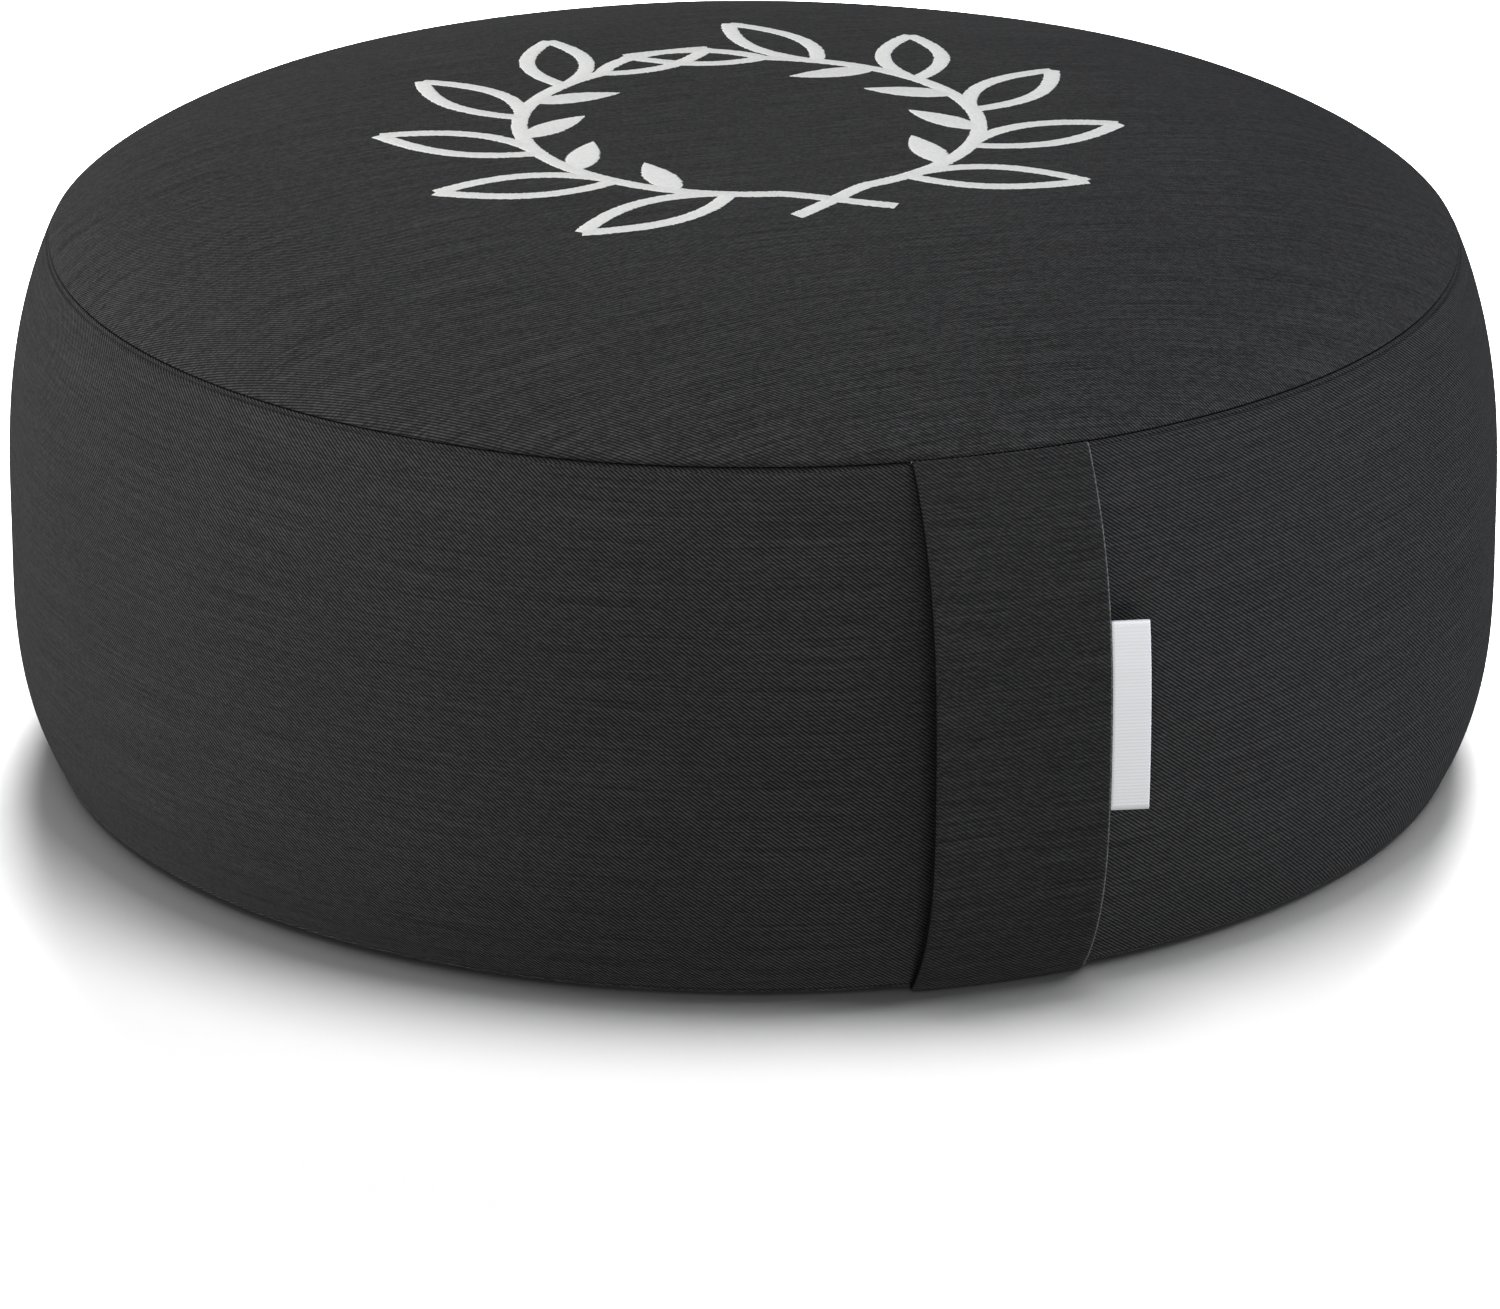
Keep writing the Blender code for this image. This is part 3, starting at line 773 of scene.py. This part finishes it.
def makeLabel():
    half = label["thick"] / 2
    reach = label["reach"] - half

    def face(away):  # one face of the folded tape: out to the fold, round it and back
        flat = np.linspace(0, reach, label["columns"])
        bend = arc((reach, 0), away, *label["fold"])
        return [(x, away) for x in flat] + bend + [(x, -away) for x in flat[::-1]]

    outer = face(half)
    loop = outer + face(half - label["tape"])[::-1]
    size = len(loop)
    points = []
    for v in np.linspace(-0.5, 0.5, label["rows"] + 1):
        height = label["centreHeight"] + v * label["height"]
        edge = strapPoint(shareAt(height), strap["width"] / 2, strap["thick"] / 2)
        for x, o in loop:
            out = form["air"] + x
            aside = out * math.cos(label["turn"]) + o * math.sin(label["turn"])
            outward = out * math.sin(label["turn"]) + o * math.cos(label["turn"])
            points.append((edge[0] + aside, edge[1] - outward, height))
    faces = rowFaces(label["rows"] + 1, size, turned=True)
    top = label["rows"] * size
    for j in range(len(outer) - 1):
        m = size - 1 - j
        faces.append((j, m, m - 1, j + 1))
        faces.append((top + j, top + j + 1, top + m - 1, top + m))
    return addMesh("side_label_tape", settle(points), faces, makeLabelSatin())


labelTape = makeLabel()
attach(labelTape, "root")
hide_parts("side_label")
print("label made")


# The embroidery: two plain leafy sprigs that cross at the front and curve round an open middle.
wreath = {
    "stemRadius": 0.062, "stemFrom": -10, "stemTo": 158, "stemPoints": 110,
    "tail": 0.018, "tailFrom": 12, "tailOver": 22, "tipLeaf": (0.038, 0.0185),
    "outerLeaf": (0.047, 0.0215), "outerTilt": 42, "outerAt": (24, 54, 84, 114, 144),
    "openPoints": 40, "openShape": 0.9,  # the open leaves, stitched along both sides
    "innerLeaf": (0.025, 0.0105), "innerTilt": 52, "innerAt": (37, 67, 97, 127),
    "filledPoints": 30, "filledShape": 0.8,  # the leaves that the stitches fill
    "line": 0.0052, "height": 0.00030, "thread": 0.00055, "threadSteps": 3, "threadPoints": 8,
    "slant": 0.25, "ridge": 0.20, "sunk": 0.0001, "rooted": 0.0004, "fray": 0.00012, "seed": 5,
}


def evenLine(path):  # a stitched line that is as wide all along
    return path, np.full(len(path), wreath["line"] / 2)


def leafLines(base, heading, length, width):  # the two sides of an open leaf
    ahead = np.array([math.cos(heading), math.sin(heading)])
    aside = np.array([-ahead[1], ahead[0]])
    t = np.linspace(0, 1, wreath["openPoints"])
    middle = np.array(base) + np.outer(t * length, ahead)
    shape = wreath["openShape"]
    belly = (width - wreath["line"]) / 2 * np.sin(math.pi * t ** shape) ** shape
    return [evenLine(middle + np.outer(side * belly, aside)) for side in (1, -1)]


def stemPoint(turn, side):  # a place on a sprig's stem, and the way that the stem runs there
    angle = math.radians(-90 + side * turn)
    flare = max(0.0, (wreath["tailFrom"] - turn) / wreath["tailOver"]) ** 1.5
    radius = wreath["stemRadius"] + wreath["tail"] * flare
    return radius * np.array([math.cos(angle), math.sin(angle)]), angle + side * math.pi / 2


def wreathLines():  # (path, half widths) of every stitched line
    lines = []
    (length, width), shape = wreath["innerLeaf"], wreath["filledShape"]
    t = np.linspace(0.0, 1.0, wreath["filledPoints"])
    stemTurns = np.linspace(wreath["stemFrom"], wreath["stemTo"], wreath["stemPoints"])
    for side in (1, -1):
        lines.append(evenLine(np.array([stemPoint(turn, side)[0] for turn in stemTurns])))
        for turn in wreath["outerAt"]:
            base, along = stemPoint(turn, side)
            heading = along - side * math.radians(wreath["outerTilt"])
            lines += leafLines(base, heading, *wreath["outerLeaf"])
        for turn in wreath["innerAt"]:
            base, along = stemPoint(turn, side)
            heading = along + side * math.radians(wreath["innerTilt"])
            path = base + np.outer(t * length, (math.cos(heading), math.sin(heading)))
            lines.append((path, width / 2 * np.sin(math.pi * t ** shape) ** shape))
        base, along = stemPoint(wreath["stemTo"], side)
        lines += leafLines(base, along, *wreath["tipLeaf"])
    return lines


def stitchLine(path, halves, draw):  # satin stitch: flat threads lie across the line, side by side
    run = np.concatenate([[0], np.cumsum(np.hypot(*np.diff(path, axis=0).T))])
    count, repeat = max(2, int(run[-1] / wreath["thread"])), wreath["threadSteps"]
    steps = np.linspace(0, run[-1], count * repeat + 1)
    line = np.stack([np.interp(steps, run, path[:, i]) for i in (0, 1)], 1)
    half = np.interp(steps, run, halves)
    ahead = np.gradient(line, axis=0)
    ahead /= np.hypot(ahead[:, 0], ahead[:, 1])[:, None]
    aside = np.stack([-ahead[:, 1], ahead[:, 0]], 1)
    fray = np.repeat(draw.normal(0, wreath["fray"], (count + 1, 2)), repeat, 0)[:len(steps)]
    ridge = 1 - wreath["ridge"] + wreath["ridge"] * np.cos(math.tau * np.arange(len(steps)) / repeat)
    across = np.linspace(-1, 1, wreath["threadPoints"])
    dome = (1 - across ** 2) ** 0.4
    points = []
    for i in range(len(steps)):
        for a, d in zip(across, dome):
            spread = (half[i] + fray[i, 0 if a < 0 else 1]) * a
            x, y = line[i] + aside[i] * spread + ahead[i] * wreath["slant"] * spread * 0.5
            points.append((x, y, topSurface(x, y) - wreath["sunk"] + wreath["height"] * d * ridge[i]))
        for a in (0.5, -0.5):
            x, y = line[i] + aside[i] * half[i] * a
            points.append((x, y, topSurface(x, y) - wreath["rooted"]))
    return points, len(across) + 2, len(steps)


def topSurface(x, y):  # height of the top panel's face
    return float(crownHeight(math.hypot(x, y) / form["topSeamRadius"]))


def makeEmbroidery():
    draw = np.random.default_rng(wreath["seed"])
    points, faces = [], []
    for path, halves in wreathLines():
        start = len(points)
        strip, size, count = stitchLine(path, halves, draw)
        points += strip
        faces += rowFaces(count, size, start, turned=True)
        faces.append(tuple(start + j for j in range(size))[::-1])
        faces.append(tuple(start + (count - 1) * size + j for j in range(size)))
    return addMesh("top_embroidery_thread", settle(points), faces, embroideryThread)


embroidery = makeEmbroidery()
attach(embroidery, "root")
print("embroidery made")


# The white floor and backdrop. Some softboxes light the floor alone and the others the cushion
# alone; they stand where the camera's own right and front put them, in metres and degrees.
studio = {
    "floorRadius": 0.75, "floorDrop": 0.0004, "floorColour": "#f4f4f4", "surround": 0.12,
    "backdrop": 1.05, "middle": (0, 0, 0.08), "softboxSize": 0.8,
    "floorLights": {
        "behind": {"right": 0.10, "behind": 1.40, "height": 0.9, "size": 1.2, "power": 165.0},
        "overhead": {"right": 0.05, "behind": 0.06, "height": 1.45, "size": 0.6, "power": 16.6},
        "left": {"right": -0.675, "behind": -0.10, "height": 1.6, "size": 1.0, "power": 4.1},
        "right": {"right": 0.80, "behind": -0.10, "height": 1.6, "size": 1.0, "power": 8.0},
    },
    "softboxes": {
        "left": {"turn": -90, "rise": 15, "away": 1.7, "power": 27.0},
        "upperLeft": {"turn": -60, "rise": 55, "away": 1.7, "power": 9.4},
        "right": {"turn": 90, "rise": 15, "away": 1.7, "power": 14.6, "colour": "#f0f4ff"},
        "upperRight": {"turn": 65, "rise": 55, "away": 1.7, "power": 9.6, "colour": "#f6f8ff"},
        "front": {"turn": 0, "rise": 0, "away": 1.8, "power": 4.6},
        "lowFront": {"turn": 20, "rise": -12, "away": 1.7, "power": 6.4},
    },
}


def makeFloor():
    # Matt white paper: it takes soft shadows and has no shine. It shows, but lights nothing itself.
    material = bpy.data.materials.new("paleMattFloor")
    material.use_nodes = True
    shader = material.node_tree.nodes["Principled BSDF"]
    shader.inputs["Base Color"].default_value = hexToLinear(studio["floorColour"])
    shader.inputs["Roughness"].default_value = 1.0
    shader.inputs["Specular IOR Level"].default_value = 0.0
    turn = np.linspace(0, math.tau, 129)[:-1]
    radius = studio["floorRadius"]
    points = [(radius * math.cos(a), radius * math.sin(a), -studio["floorDrop"]) for a in turn]
    floor = addMesh("floor", points, [tuple(range(len(points)))], material)
    floor.visible_diffuse = False
    floor.visible_glossy = False
    floor.visible_shadow = False
    return floor


def makeLight(name, at, target, lamp, only):
    item = bpy.data.objects.new(name, bpy.data.lights.new(name, "AREA"))
    item.data.shape = "DISK"
    item.data.size = lamp.get("size", studio["softboxSize"])
    item.data.energy = lamp["power"]
    item.data.color = hexToLinear(lamp.get("colour", "#ffffff"))[:3]
    bpy.context.scene.collection.objects.link(item)
    item.location = at
    item.rotation_mode = "QUATERNION"
    item.rotation_quaternion = (Vector(target) - Vector(at)).to_track_quat("-Z", "Y")
    item.light_linking.receiver_collection = only


def softboxPlace(lamp):
    turn = view["azimuth"] + math.radians(lamp["turn"])
    rise = math.radians(lamp["rise"])
    ahead = Vector((math.sin(turn) * math.cos(rise), -math.cos(turn) * math.cos(rise), math.sin(rise)))
    return Vector(studio["middle"]) + ahead * lamp["away"]


floor = makeFloor()
floorOnly = bpy.data.collections.new("litByFloorLights")
floorOnly.objects.link(floor)
cushionOnly = bpy.data.collections.new("litBySoftboxes")
for piece in (filledBody, topCloth, baseCloth, strapCloth, strapYarn, labelTape, embroidery):
    cushionOnly.objects.link(piece)
for side, lamp in studio["softboxes"].items():
    makeLight(side + "Softbox", softboxPlace(lamp), studio["middle"], lamp, cushionOnly)
away = -Vector((back.x, back.y, 0)).normalized()
for side, lamp in studio["floorLights"].items():
    at = right * lamp["right"] + away * lamp["behind"] + Vector((0, 0, lamp["height"]))
    makeLight(side + "FloorSoftbox", at, (0, 0, 0), lamp, floorOnly)

world = bpy.data.worlds.new("studio")
bpy.context.scene.world = world
world.use_nodes = True
tree = world.node_tree
background = tree.nodes["Background"]
path = addNode(tree, "ShaderNodeLightPath")
strength = addNode(tree, "ShaderNodeMapRange", {
    "From Min": 0.0, "From Max": 1.0, "To Min": studio["surround"], "To Max": studio["backdrop"]},
    {"Value": path.outputs["Is Camera Ray"]})
background.inputs["Color"].default_value = (1, 1, 1, 1)
tree.links.new(strength.outputs[0], background.inputs["Strength"])
bpy.context.scene.view_settings.view_transform = "Standard"
print("studio made")
